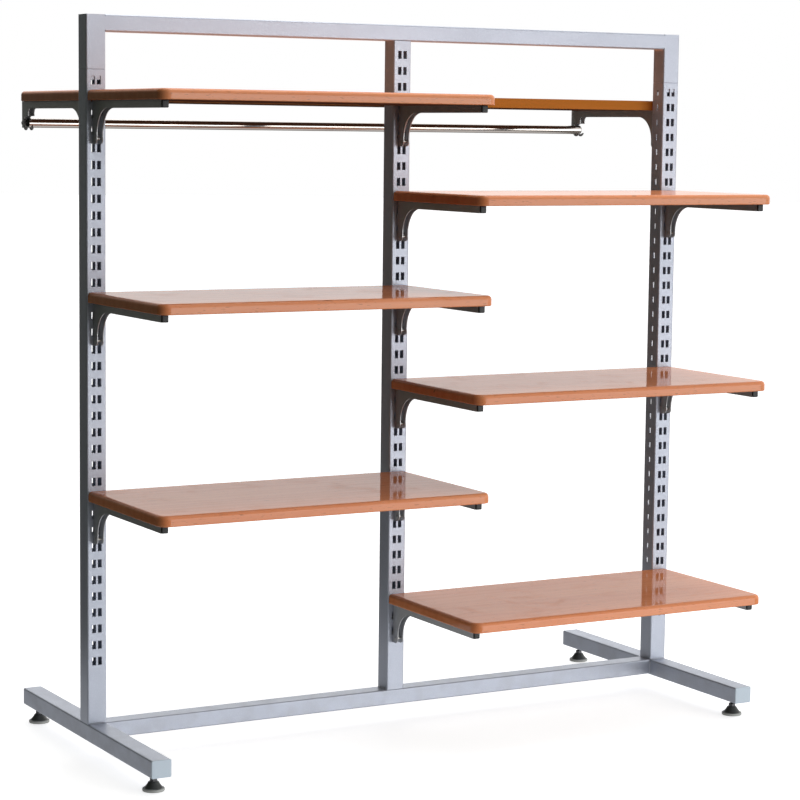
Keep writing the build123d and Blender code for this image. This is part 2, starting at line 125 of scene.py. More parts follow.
class GondolaStage(bpy.types.PropertyGroup):
    """Camera and light."""

    camera_place: FloatVectorProperty(name="Camera", description="Place of the camera", subtype="XYZ",
                                      unit="LENGTH", size=3, default=(-2.4351, -4.3619, 1.2203))
    heading: FloatProperty(name="Heading", description="Turn of the view from +Y towards +X",
                           subtype="ANGLE", default=math.radians(29.32))
    drop: FloatProperty(name="Drop", description="Tilt of the view below the horizon",
                        subtype="ANGLE", default=math.radians(6.29))
    roll: FloatProperty(name="Roll", description="Turn of the camera about its own axis",
                        subtype="ANGLE", default=math.radians(0.67))
    lens: FloatProperty(name="Lens", description="Focal length on a 36 mm sensor", unit="CAMERA",
                        default=109.67)
    key: FloatProperty(name="Key light", description="Power of the large soft light", unit="POWER",
                       default=74.0)
    top: FloatProperty(name="Top light", description="Power of the soft light overhead", unit="POWER",
                       default=40.0)
    bounce: FloatProperty(name="Bounce", description="Power of the card that lights the rack from below",
                          unit="POWER", default=9.0)
    fill: FloatProperty(name="Surround", description="Strength of the pale studio surround", default=0.84)
    behind: FloatProperty(name="Behind", description="Strength of the surround behind the rack",
                          default=1.25)
    flag: colour("Flag", "What the dark flag at the rack's left end sends back", (0.045, 0.048, 0.036))
    below: colour("Below", "What the surround sends up from below", (0.16, 0.15, 0.14))


# ---------------------------------------------------------------- shader sums
class Socket:
    """A shader node's output that can be used in sums; each sum adds its Math node."""

    def __init__(self, finish, out):
        self.finish = finish
        self.out = out

    def sum(self, operation, first, second):
        return self.finish.node("ShaderNodeMath", {"operation": operation}, {0: first, 1: second})

    def __add__(self, other):
        return self.sum("ADD", self, other)

    def __sub__(self, other):
        return self.sum("SUBTRACT", self, other)

    def __rsub__(self, other):
        return self.sum("SUBTRACT", other, self)

    def __mul__(self, other):
        return self.sum("MULTIPLY", self, other)

    __radd__ = __add__
    __rmul__ = __mul__


class Finish:
    """One material, or the world, as a tree of nodes."""

    def __init__(self, owner, output):
        owner.use_nodes = True
        self.owner = owner
        self.tree = owner.node_tree
        self.tree.nodes.clear()
        self.output = self.tree.nodes.new(output)

    def node(self, kind, settings, inputs, output=0):
        """Adds a node: its settings first, then the values or links of its sockets."""
        made = self.tree.nodes.new(kind)
        for name, value in settings.items():
            setattr(made, name, value)
        for key, value in inputs.items():
            socket = made.inputs[key]
            if isinstance(value, Socket):
                self.tree.links.new(value.out, socket)
            elif socket.type == "RGBA":
                socket.default_value = (*value, 1.0)
            else:
                socket.default_value = value
        return Socket(self, made.outputs[output])

    def place(self):
        """Where a point is on the object, in metres."""
        return self.node("ShaderNodeTexCoord", {}, {}, "Object")

    def stretch(self, vector, shares):
        return self.node("ShaderNodeVectorMath", {"operation": "MULTIPLY"}, {0: vector, 1: shares})

    def part(self, vector, axis):
        return self.node("ShaderNodeSeparateXYZ", {}, {0: vector}, axis)

    def noise(self, vector, scale, detail=2.0, distortion=0.0):
        inputs = {"Vector": vector, "Scale": scale, "Detail": detail, "Distortion": distortion}
        return self.node("ShaderNodeTexNoise", {}, inputs)

    def step(self, value, low, high):
        """Smooth step from 0 at low to 1 at high."""
        inputs = {"Value": value, "From Min": low, "From Max": high}
        return self.node("ShaderNodeMapRange", {"interpolation_type": "SMOOTHSTEP"}, inputs)

    def mix(self, factor, first, second, blend="MIX"):
        """Mixes two colours; the colour sockets of a Mix node are its seventh and eighth."""
        settings = {"data_type": "RGBA", "blend_type": blend}
        return self.node("ShaderNodeMix", settings, {0: factor, 6: first, 7: second}, 2)

    def cells(self, vector, scale):
        """A random number from 0 to 1 for each small cell."""
        spots = self.node("ShaderNodeTexVoronoi", {}, {"Vector": vector, "Scale": scale}, "Color")
        return self.part(spots, "X")

    def edges(self, radius):
        """1 along sharp edges, fading to 0 over the radius."""
        rounded = self.node("ShaderNodeBevel", {"samples": 4}, {"Radius": radius})
        true = self.node("ShaderNodeNewGeometry", {}, {}, "Normal")
        turn = self.node("ShaderNodeVectorMath", {"operation": "DOT_PRODUCT"}, {0: rounded, 1: true}, "Value")
        return self.step(1 - turn, 0.02, 0.25)

    def bump(self, height, distance, strength=1.0, before=None):
        inputs = {"Height": height, "Distance": distance, "Strength": strength}
        if before:
            inputs["Normal"] = before
        return self.node("ShaderNodeBump", {}, inputs)

    def surface(self, inputs):
        shader = self.node("ShaderNodeBsdfPrincipled", {}, inputs)
        self.tree.links.new(shader.out, self.output.inputs["Surface"])
        return self.owner


def finish_named(name, build, *values):
    """The material of that name, built once."""
    found = bpy.data.materials.get(name)
    if found:
        return found
    material = bpy.data.materials.new(name)
    return build(Finish(material, "ShaderNodeOutputMaterial"), *values)


def powder_coat(made, paint, roughness):
    """Silver powder coat: metal flake, orange peel, rubbed edges, handling marks and dust low down."""
    colours, sizes = bpy.context.scene.gondola_colours, bpy.context.scene.gondola_sizes
    place = made.place()
    cloud = made.noise(place, 9.0, detail=4.0)
    flake = made.step(made.cells(place, 1500.0), 0.55, 1.0)
    tone = made.mix(0.16 * flake, tuple(paint), (0.90, 0.92, 0.96))
    tone = made.mix(0.30 * made.step(cloud, 0.35, 0.75), tone, tuple(0.93 * part for part in paint))
    streak = made.noise(made.stretch(place, (90.0, 90.0, 3.0)), 1.0, detail=3.0)
    rubbed = made.step(streak, 0.62, 0.74) * made.step(cloud, 0.45, 0.60)
    chips = made.edges(0.9 * MM) * made.step(made.noise(place, 160.0, detail=3.0), 0.50, 0.68)
    height = made.part(place, "Z")
    dusty = (1 - made.step(height, 0.0, 0.16)) * made.step(made.noise(place, 30.0, detail=5.0), 0.35, 0.7)
    tone = made.mix(0.75 * chips, tone, tuple(colours.bare_steel))
    tone = made.mix(0.15 * dusty, tone, tuple(colours.dust))
    peel = made.noise(place, 420.0, detail=2.0)
    return made.surface({
        "Base Color": tone,
        "Metallic": 0.35 + 0.25 * flake + 0.3 * chips,
        "Roughness": roughness + 0.06 * cloud - 0.05 * rubbed + 0.08 * dusty - 0.06 * flake,
        "Normal": made.bump(peel + 0.35 * flake - 1.5 * chips, sizes.peel),
        "Specular IOR Level": 0.5,
    })


def frame_paint():
    colours = bpy.context.scene.gondola_colours
    return finish_named("silver_powder_coat", powder_coat, colours.paint, 0.36)


def bracket_paint():
    colours = bpy.context.scene.gondola_colours
    return finish_named("bracket_powder_coat", powder_coat, colours.bracket_paint, 0.33)


def laminate(made, colours):
    """Glossy wood laminate, its grain along the board: streaks, arched figure, fine lines and pores.

    The edge at the uprights has a plain matt band, and the undersides are painted near black as painted
    shade, matt and without coat.
    """
    place = made.place()
    board_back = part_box("rear_shelf_board")[0].y
    from_middle = made.node("ShaderNodeMath", {"operation": "ABSOLUTE"}, {0: made.part(place, "Y")})
    band = 1 - made.step(from_middle, board_back + 0.1 * MM, board_back + 0.4 * MM)
    # Painted shade: faces that turn down get a near-black colour, matt and without coat
    facing = made.node("ShaderNodeNewGeometry", {}, {}, "True Normal")
    underside_shade = made.step(0 - made.part(facing, "Z"), 0.90, 0.99)
    plain = made.node("ShaderNodeMath", {"operation": "MAXIMUM"}, {0: band, 1: underside_shade})
    upward = made.step(made.part(made.node("ShaderNodeNewGeometry", {}, {}, "Normal"), "Z"), 0.3, 0.95)
    broad = made.noise(made.stretch(place, (1.1, 13.0, 13.0)), 1.0, detail=5.0, distortion=0.8)
    arches = made.node("ShaderNodeTexWave", {"bands_direction": "Y"}, {
        "Vector": made.stretch(place, (0.22, 1.0, 1.0)),
        "Scale": 11.0, "Distortion": 7.0, "Detail": 3.0, "Detail Scale": 1.4})
    lines = made.noise(made.stretch(place, (5.0, 330.0, 330.0)), 1.0, detail=4.0)
    pores = made.step(made.noise(made.stretch(place, (70.0, 950.0, 950.0)), 1.0, detail=1.0), 0.66, 0.74)
    knots = made.step(made.noise(made.stretch(place, (22.0, 60.0, 60.0)), 1.0, detail=1.0), 0.77, 0.80)
    depth = 0.50 * made.step(broad, 0.30, 0.70) + 0.24 * made.part(arches, "X") + 0.26 * lines
    tone = made.mix(depth, tuple(colours.wood_light), tuple(colours.wood_dark))
    tone = made.mix(0.55 * pores + 0.45 * knots, tone, tuple(colours.wood_pore))
    worn = made.edges(1.2 * MM) * made.step(made.noise(place, 70.0, detail=4.0), 0.50, 0.70)
    tone = made.mix(0.25 * worn, tone, (0.88, 0.55, 0.30))
    tone = made.mix(band * (1 - 0.25 * lines), tone, tuple(colours.wood_band))
    # Painted shade: the downward faces take the near-black underside colour
    tone = made.mix(underside_shade * (1 - 0.20 * lines), tone, tuple(colours.wood_underside_shade))
    smears = made.noise(place, 14.0, detail=4.0, distortion=1.2)
    return made.surface({
        "Base Color": tone,
        "Roughness": 0.34 + 0.14 * smears + 0.10 * pores + 0.20 * plain,
        "Coat Weight": (1 - plain) * (1 - 0.42 * upward - 0.15 * made.step(smears, 0.50, 0.80) - 0.30 * worn),
        "Coat Roughness": 0.06,
        "Coat IOR": 1.45,
        "Specular IOR Level": 0.0,
        "Normal": made.bump(0.6 * lines - pores, 0.02 * MM, 0.6),
    })


def board_laminate():
    return finish_named("cherry_laminate", laminate, bpy.context.scene.gondola_colours)


def drawn_chrome(made, colours):
    """Chrome on drawn tube: fine lines along it, and faint rubbing where hangers slide."""
    place = made.place()
    lines = made.noise(made.stretch(place, (6.0, 900.0, 900.0)), 1.0, detail=2.0)
    hazy = made.noise(place, 26.0, detail=5.0)
    rings = made.noise(made.stretch(place, (420.0, 4.0, 4.0)), 1.0, detail=2.0)
    slid = made.step(rings, 0.60, 0.72) * made.step(hazy, 0.42, 0.62)
    tone = made.mix(0.35 * made.step(hazy, 0.40, 0.75), tuple(colours.chrome), (0.66, 0.64, 0.63))
    return made.surface({
        "Base Color": tone,
        "Metallic": 1.0,
        "Roughness": 0.07 + 0.08 * hazy + 0.16 * slid,
        "Normal": made.bump(lines + 0.6 * slid, 0.006 * MM),
    })


def zinc_plate(made, plating, tint):
    """Zinc plating: crystal bloom, a passivation tint, brighter rubbed edges."""
    place = made.place()
    bloom = made.cells(place, 700.0)
    cloud = made.noise(place, 120.0, detail=4.0)
    tone = made.mix(made.step(cloud, 0.35, 0.70), tuple(plating), tuple(tint))
    tone = made.mix(0.30 * bloom, tone, tuple(0.66 * part for part in plating))
    worn = made.edges(0.5 * MM)
    tone = made.mix(0.45 * worn, tone, tuple(0.3 + 0.7 * part for part in plating))
    return made.surface({
        "Base Color": tone,
        "Metallic": 1.0,
        "Roughness": 0.30 + 0.16 * cloud - 0.10 * worn,
        "Normal": made.bump(bloom + cloud, 0.01 * MM),
    })


def moulded(made, body, scuffed, grain, roughness):
    """Moulded plastic with a fine spark-eroded grain and pale scuffs on its edges."""
    place = made.place()
    spark = made.noise(place, grain, detail=3.0)
    cloud = made.noise(place, 45.0, detail=4.0)
    scuffs = made.edges(0.8 * MM) * made.step(made.noise(place, 220.0, detail=3.0), 0.45, 0.65)
    tone = made.mix(0.5 * scuffs + 0.10 * cloud, tuple(body), tuple(scuffed))
    return made.surface({
        "Base Color": tone,
        "Roughness": roughness + 0.12 * cloud + 0.10 * spark,
        "Normal": made.bump(spark, 0.03 * MM),
        "Specular IOR Level": 0.45,
    })


def plug_plastic():
    colours = bpy.context.scene.gondola_colours
    return finish_named("black_plug_plastic", moulded, colours.plug, (0.16, 0.16, 0.17), 1800.0, 0.34)


def cap_plastic():
    colours = bpy.context.scene.gondola_colours
    return finish_named("grey_cap_plastic", moulded, colours.cap, (0.74, 0.78, 0.82), 1300.0, 0.36)


def pad_plastic(made, colours, rim_top):
    """Glossy dark cone over a scuffed, dusty rim."""
    place = made.place()
    cloud = made.noise(place, 90.0, detail=5.0)
    height = made.part(place, "Z") + 0.0025 * cloud
    rim = 1 - made.step(height, rim_top, rim_top + 2.0 * MM)
    tone = made.mix(rim * (0.55 + 0.7 * cloud), tuple(colours.pad), tuple(colours.pad_rim))
    spark = made.noise(place, 1500.0, detail=2.0)
    return made.surface({
        "Base Color": tone,
        "Roughness": 0.28 + 0.22 * rim + 0.14 * cloud,
        "Normal": made.bump(spark + cloud, 0.04 * MM),
        "Specular IOR Level": 0.5,
    })


def zinc():
    colours = bpy.context.scene.gondola_colours
    return finish_named("zinc_plate", zinc_plate, colours.zinc, colours.zinc_tint)


def black_zinc():
    colours = bpy.context.scene.gondola_colours
    return finish_named("black_zinc_plate", zinc_plate, colours.black_zinc, colours.black_zinc)


def paint_nodes(names, material):
    """Gives CAD nodes a finish through their material slots."""
    for name in names:
        for slot in NODES[name].material_slots:
            slot.material = material


# ---------------------------------------------------------------- mesh work
def solids(node):
    """Lowest and highest corner of each separate solid in a CAD node."""
    mesh = bmesh.new()
    mesh.from_mesh(NODES[node].data)
    bmesh.ops.remove_doubles(mesh, verts=mesh.verts, dist=1e-6)
    waiting, found = set(mesh.verts), []
    while waiting:
        front, points = [waiting.pop()], []
        while front:
            vertex = front.pop()
            points.append(vertex.co.copy())
            joined = {edge.other_vert(vertex) for edge in vertex.link_edges} & waiting
            waiting -= joined
            front.extend(joined)
        spans = [[point[axis] for point in points] for axis in range(3)]
        found.append((Vector(map(min, spans)), Vector(map(max, spans))))
    mesh.free()
    return sorted(found, key=lambda box: [round(part, 4) for part in box[0]])


def outermost(sign, low, high):
    """The end of a span that lies on a side: the high one on +, the low one on -."""
    return high if sign > 0 else low


def circle(radius, count):
    """Points of a circle round the origin."""
    angles = [2 * math.pi * number / count for number in range(count)]
    return [Vector((radius * math.cos(angle), radius * math.sin(angle), 0.0)) for angle in angles]


def loft(mesh, rings, hollow=False):
    """Skin over rings of equally many points: capped at both ends, or closed on itself if hollow."""
    made = [[mesh.verts.new(point) for point in ring] for ring in rings]
    pairs = list(zip(made, made[1:]))
    if hollow:
        pairs.append((made[-1], made[0]))
    else:
        mesh.faces.new(made[0][::-1])
        mesh.faces.new(made[-1])
    for low, high in pairs:
        for a in range(len(low)):
            b = (a + 1) % len(low)
            mesh.faces.new((low[a], low[b], high[b], high[a]))


def turned(mesh, outline, place, count=48, shape=None, hollow=False):
    """Solid of revolution about Z from (radius, height) points.

    The shape, if there is one, changes a radius by angle and height.
    """
    rings = []
    for radius, height in outline:
        ring = []
        for number in range(count):
            angle = 2 * math.pi * number / count
            reach = shape(radius, angle, height) if shape else radius
            ring.append(place @ Vector((reach * math.cos(angle), reach * math.sin(angle), height)))
        rings.append(ring)
    loft(mesh, rings, hollow)


def soften(points, reach, steps=4):
    """Rounds the corners between an outline's two ends."""
    points = [Vector(point) for point in points]
    made = [points[0]]
    for before, corner, after in zip(points, points[1:], points[2:]):
        near = min(reach, (before - corner).length / 2, (after - corner).length / 2)
        start = corner + near * (before - corner).normalized()
        end = corner + near * (after - corner).normalized()
        for number in range(steps + 1):
            share = number / steps
            made.append(start.lerp(corner, share).lerp(corner.lerp(end, share), share))
    made.append(points[-1])
    return made


def rounded_rectangle(width, depth, radius, steps=5):
    """Outline of a rectangle with round corners, centred on the origin."""
    points = []
    for quarter in range(4):
        across = 1 if quarter in (0, 3) else -1
        along = 1 if quarter in (0, 1) else -1
        centre = Vector((across * (width / 2 - radius), along * (depth / 2 - radius)))
        for number in range(steps + 1):
            angle = math.pi / 2 * (quarter + number / steps)
            points.append(centre + radius * Vector((math.cos(angle), math.sin(angle))))
    return points


def pillow(mesh, width, depth, corner, outline, place):
    """Rounded block from (inset, height) points: each ring is the rectangle, drawn in by its inset."""
    rings = []
    for inset, height in outline:
        radius = max(corner - inset, corner / 4)
        flat = rounded_rectangle(width - 2 * inset, depth - 2 * inset, radius)
        rings.append([place @ Vector((point.x, point.y, height)) for point in flat])
    loft(mesh, rings)


def threaded(mesh, place, radius, pitch, length):
    """Threaded rod along Z with chamfered ends; the thread climbs as the radius changes with angle."""
    depth = 0.54 * pitch
    rings_per_turn = 6

    def groove(reach, angle, height):
        turn = (height / pitch - angle / (2 * math.pi)) % 1.0
        crest = min(1.0, max(0.0, 1.35 * abs(2 * turn - 1) - 0.12))
        chamfer = pitch - min(height, length - height)
        return min(reach - depth * (1 - crest), reach - max(chamfer, 0.0))

    count = round(length / pitch * rings_per_turn)
    outline = [(radius, length * number / count) for number in range(count + 1)]
    turned(mesh, outline, place, count=30, shape=groove)


def hexagon(flats, angle):
    """Distance from a hexagon's centre to its side, with a corner at angle 0."""
    sixth = math.pi / 3
    return flats / 2 / math.cos(angle % sixth - sixth / 2)


def nut(mesh, place, flats, height, bore):
    """Hexagonal nut with both faces chamfered and a countersunk bore."""
    corner = flats / 2 / math.cos(math.pi / 6)
    cone = corner - flats / 2 * 0.97
    rise = 0.58 * cone

    def body(reach, angle, level):
        return min(reach, hexagon(flats, angle)) if reach > bore + 1.1 * MM else reach

    steps = 4
    lower = [(corner - cone * (1 - number / steps), rise * number / steps) for number in range(steps + 1)]
    upper = [(radius, height - level) for radius, level in reversed(lower)]
    sink = 0.8 * MM
    inner = [(bore + sink, height), (bore, height - sink), (bore, sink), (bore + sink, 0.0)]
    turned(mesh, lower + upper + inner, place, count=72, shape=body, hollow=True)


def bead(mesh, start, end, first, second, size, ripple):
    """Fillet weld along an inside corner: overlapping scales between two plates."""
    start, end = Vector(start), Vector(end)
    first, second = Vector(first), Vector(second)
    run = end - start
    count = max(2, round(run.length / ripple * 4))
    rings = []
    for number in range(count + 1):
        share = number / count
        scale = 0.86 + 0.14 * abs(math.sin(math.pi * run.length * share / ripple))
        taper = min(1.0, 0.45 + 5 * min(share, 1 - share))
        reach = size * scale * taper
        arc = [0.94, 0.80, 0.74, 0.80, 0.94]
        ring = [start + run * share]
        for step, bulge in enumerate(arc):
            angle = math.pi / 2 * step / (len(arc) - 1)
            ring.append(ring[0] + reach * bulge * (math.cos(angle) * first + math.sin(angle) * second))
        rings.append(ring)
    loft(mesh, rings)


def dressed(mesh, corner, run, first, second, reach):
    """Weld ground flush: a three-sided prism that fills the groove beside a tube's rounded edge."""
    corner, run = Vector(corner), Vector(run)
    ring = [corner, corner + reach * Vector(first), corner + reach * Vector(second)]
    loft(mesh, [ring, [point + run for point in ring]])


def add_piece(name, mesh, material, body, crease=35.0):
    """Makes an object of the mesh that rides on a body and takes the slot's finish."""
    bmesh.ops.recalc_face_normals(mesh, faces=mesh.faces)
    data = bpy.data.meshes.new(name)
    mesh.to_mesh(data)
    mesh.free()
    data.shade_smooth()
    data.set_sharp_from_angle(angle=math.radians(crease))
    data.materials.append(material)
    piece = bpy.data.objects.new(name, data)
    bpy.context.scene.collection.objects.link(piece)
    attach(piece, body)
    return piece


def at(point, turn=None):
    """Matrix that puts a shape drawn on Z at a point, first turned to lie along an axis."""
    turns = {"X": Matrix.Rotation(math.pi / 2, 4, "Y"), "-X": Matrix.Rotation(-math.pi / 2, 4, "Y"),
             "Y": Matrix.Rotation(-math.pi / 2, 4, "X"), "-Y": Matrix.Rotation(math.pi / 2, 4, "X")}
    move = Matrix.Translation(point)
    return move @ turns[turn] if turn else move


# ---------------------------------------------------------------- operators
class GONDOLA_OT_paint_frame(bpy.types.Operator):
    """Powder coat on the uprights, feet, beam and header, zinc on what is inside them"""

    bl_idname = "gondola.paint_frame"
    bl_label = "Paint the frame"

    def execute(self, context):
        tubes = ["middle_upright", "bottom_beam", "header_rail"]
        for side in SIDES:
            tubes += [f"{side}_upright", f"{side}_foot", f"{side}_header_leg"]
        paint_nodes(tubes, frame_paint())
        paint_nodes(["middle_upright_insert", "middle_upright_bolt", "foot_threaded_inserts"], zinc())
        return {"FINISHED"}


class GONDOLA_OT_weld_frame(bpy.types.Operator):
    """Fillet welds where uprights, feet, beam and header rail meet, ground flush where faces line up"""

    bl_idname = "gondola.weld_frame"
    bl_label = "Weld the frame"

    def fillet(self, mesh, start, end, first, second):
        """A bead of the panel's size from start to end, against faces that run first and second."""
        sizes = bpy.context.scene.gondola_sizes
        bead(mesh, start, end, first, second, sizes.bead, sizes.bead_ripple)

    def upright_on_foot(self, mesh, side, corner):
        low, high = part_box(f"{side}_upright")
        for end in ENDS.values():
            face = outermost(end, low.y, high.y)
            start, stop = (low.x + corner, face, low.z), (high.x - corner, face, low.z)
            self.fillet(mesh, start, stop, (0, end, 0), (0, 0, 1))

    def beam_on_foot(self, mesh, sign, corner):
        low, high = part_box("bottom_beam")
        beam_end = outermost(sign, low.x, high.x)
        for end in ENDS.values():
            face = outermost(end, low.y, high.y)
            start, stop = (beam_end, face, low.z + corner), (beam_end, face, high.z - corner)
            self.fillet(mesh, start, stop, (-sign, 0, 0), (0, end, 0))
        run = (0, high.y - low.y - 2 * corner, 0)
        dressed(mesh, (beam_end, low.y + corner, high.z), run, (sign, 0, 0), (0, 0, -1), corner)

    def rail_on_leg(self, mesh, sign, corner):
        low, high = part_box("header_rail")
        rail_end = outermost(sign, low.x, high.x)
        run = (0, 0, high.z - low.z - 2 * corner)
        for end in ENDS.values():
            start = (rail_end, end * high.y, low.z + corner)
            dressed(mesh, start, run, (sign, 0, 0), (0, -end, 0), corner)
        start, stop = (rail_end, low.y + corner, low.z), (rail_end, high.y - corner, low.z)
        self.fillet(mesh, start, stop, (-sign, 0, 0), (0, 0, -1))

    def middle_upright_on_beam(self, mesh, sign, corner):
        low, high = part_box("middle_upright")
        face = outermost(sign, low.x, high.x)
        start, stop = (face, low.y + corner, low.z), (face, high.y - corner, low.z)
        self.fillet(mesh, start, stop, (sign, 0, 0), (0, 0, 1))

    def execute(self, context):
        corner = context.scene.gondola_sizes.tube_corner
        mesh = bmesh.new()
        for side, sign in SIDES.items():
            self.upright_on_foot(mesh, side, corner)
            self.beam_on_foot(mesh, sign, corner)
            self.rail_on_leg(mesh, sign, corner)
            self.middle_upright_on_beam(mesh, sign, corner)
        add_piece("frame_weld_beads", mesh, frame_paint(), "frame", crease=60.0)
        return {"FINISHED"}


class GONDOLA_OT_cap_feet(bpy.types.Operator):
    """Domed plastic end caps in the ends of the feet"""

    bl_idname = "gondola.cap_feet"
    bl_label = "Cap the feet"

    def cap(self, mesh, low, high, tube_low, tube_high):
        outward = 1 if high.y > tube_high.y else -1
        face = outermost(outward, tube_low.y, tube_high.y)
        flange = abs(outermost(outward, low.y, high.y) - face)
        plug = (high.y - low.y) - flange
        wall, lead_in, edge = 2.3 * MM, 1.5 * MM, 0.35 * flange
        inside = [(wall + 0.8 * MM, -plug), (wall, -plug + lead_in), (wall, 0.0), (0.0, 0.0), (0.0, edge)]
        dome = soften([(0.0, edge), (0.15 * MM, 0.75 * flange), (1.6 * MM, 0.93 * flange),
                       (7.0 * MM, flange), (13.0 * MM, flange)], 1.2 * MM)
        centre = Vector(((low.x + high.x) / 2, face, (low.z + high.z) / 2))
        corner = bpy.context.scene.gondola_sizes.tube_corner
        place = at(centre, "Y" if outward > 0 else "-Y")
        pillow(mesh, high.x - low.x, high.z - low.z, corner, inside + dome, place)

    def execute(self, context):
        mesh = bmesh.new()
        for side in SIDES:
            tube_low, tube_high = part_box(f"{side}_foot")
            for low, high in solids("foot_end_caps"):
                if tube_low.x < (low.x + high.x) / 2 < tube_high.x:
                    self.cap(mesh, low, high, tube_low, tube_high)
        piece = add_piece("domed_foot_caps", mesh, cap_plastic(), "frame")
        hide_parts("foot_end_caps")
        return {"FINISHED"}


class GONDOLA_OT_levelling_feet(bpy.types.Operator):
    """Threaded studs with lock nuts, and fluted pads under them"""

    bl_idname = "gondola.levelling_feet"
    bl_label = "Make the levelling feet"

    def stud(self, name, body, sizes):
        low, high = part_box(f"{name}_levelling_stud")
        pad_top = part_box(f"{name}_levelling_pad")[1].z
        centre = (low + high) / 2
        radius, nut_height = 4.0 * MM, 6.5 * MM
        flats = high.y - low.y
        mesh = bmesh.new()
        threaded(mesh, at((centre.x, centre.y, low.z)), radius, sizes.stud_thread, high.z - low.z)
        nut(mesh, at((centre.x, centre.y, pad_top)), flats, nut_height, radius)
        piece = add_piece(f"{name}_threaded_stud", mesh, black_zinc(), body, crease=40.0)
        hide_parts(f"{name}_levelling_stud")

    def pad(self, name, body, sizes):
        low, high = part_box(f"{name}_levelling_pad")
        socket_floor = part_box(f"{name}_levelling_stud")[0].z - low.z
        radius = (high.x - low.x) / 2
        rim, top, neck, bore = 6.0 * MM, high.z - low.z, 10.0 * MM, 4.05 * MM
        flutes = sizes.pad_flutes

        def fluted(reach, angle, height):
            near_rim = max(0.0, 1 - abs(height - rim / 2) / (rim / 2)) if reach > radius - 1.2 * MM else 0.0
            return reach - 0.35 * MM * near_rim ** 0.5 * (0.5 + 0.5 * math.cos(flutes * angle))

        outside = [(radius - 5.0 * MM, 0.0), (radius - 0.6 * MM, 0.0), (radius, 0.8 * MM),
                   (radius, rim - 1.4 * MM), (radius - 0.9 * MM, rim - 0.3 * MM), (radius - 3.4 * MM, rim),
                   (neck + 2.2 * MM, 0.72 * top), (neck, top - 1.2 * MM), (neck - 0.9 * MM, top),
                   (bore + 0.6 * MM, top), (bore, top - 0.8 * MM), (bore, socket_floor),
                   (bore / 2, socket_floor)]
        outline = soften(outside, 0.9 * MM, steps=5)
        mesh = bmesh.new()
        place = at(((low.x + high.x) / 2, (low.y + high.y) / 2, low.z))
        turned(mesh, outline, place, count=flutes * 4, shape=fluted)
        finish = finish_named("levelling_pad_plastic", pad_plastic, bpy.context.scene.gondola_colours, rim)
        piece = add_piece(f"{name}_fluted_pad", mesh, finish, body)
        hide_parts(f"{name}_levelling_pad")

    def execute(self, context):
        for side in SIDES:
            for end in ENDS:
                name = f"{end}_{side}"
                self.stud(name, f"{name}_levelling_foot", context.scene.gondola_sizes)
                self.pad(name, f"{name}_levelling_foot", context.scene.gondola_sizes)
        return {"FINISHED"}


class GONDOLA_OT_finish_boards(bpy.types.Operator):
    """Wood laminate on the boards"""

    bl_idname = "gondola.finish_boards"
    bl_label = "Finish the boards"

    def execute(self, context):
        boards = [f"{shelf}_board" for shelf in SHELVES] + ["rear_shelf_board"]
        paint_nodes(boards, board_laminate())
        return {"FINISHED"}


class GONDOLA_OT_finish_brackets(bpy.types.Operator):
    """Powder coat on the brackets, and crowned plugs in the front ends of their arms"""

    bl_idname = "gondola.finish_brackets"
    bl_label = "Finish the brackets"

    def plugs(self, shelf):
        mesh = bmesh.new()
        for low, high in solids(f"{shelf}_end_plugs"):
            centre = (low + high) / 2
            flange = 4.0 * MM
            face = low.y + flange
            depth = high.y - face
            edge = [(2.2 * MM, -depth), (1.7 * MM, 1.5 * MM - depth)]
            for rib in range(3):
                back = -depth * (0.8 - 0.25 * rib)
                edge += [(1.9 * MM, back), (1.6 * MM, back + 1.2 * MM), (1.9 * MM, back + 1.5 * MM)]
            edge += [(1.9 * MM, 0.0), (0.0, 0.0)]
            crown = soften([(0.0, 0.0), (0.0, 0.55 * flange), (0.5 * MM, 0.88 * flange),
                            (2.4 * MM, flange), (5.0 * MM, flange)], 1.0 * MM)
            place = at((centre.x, face, centre.z), "-Y")
            pillow(mesh, high.x - low.x, high.z - low.z, 2.0 * MM, edge + crown[1:], place)
        piece = add_piece(f"{shelf}_crowned_plugs", mesh, plug_plastic(), shelf)
        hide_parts(f"{shelf}_end_plugs")

    def execute(self, context):
        brackets = [f"{shelf}_{side}_bracket" for shelf in SHELVES + ["rear_shelf"] for side in SIDES]
        paint_nodes(brackets, bracket_paint())
        for shelf in SHELVES:
            self.plugs(shelf)
        return {"FINISHED"}


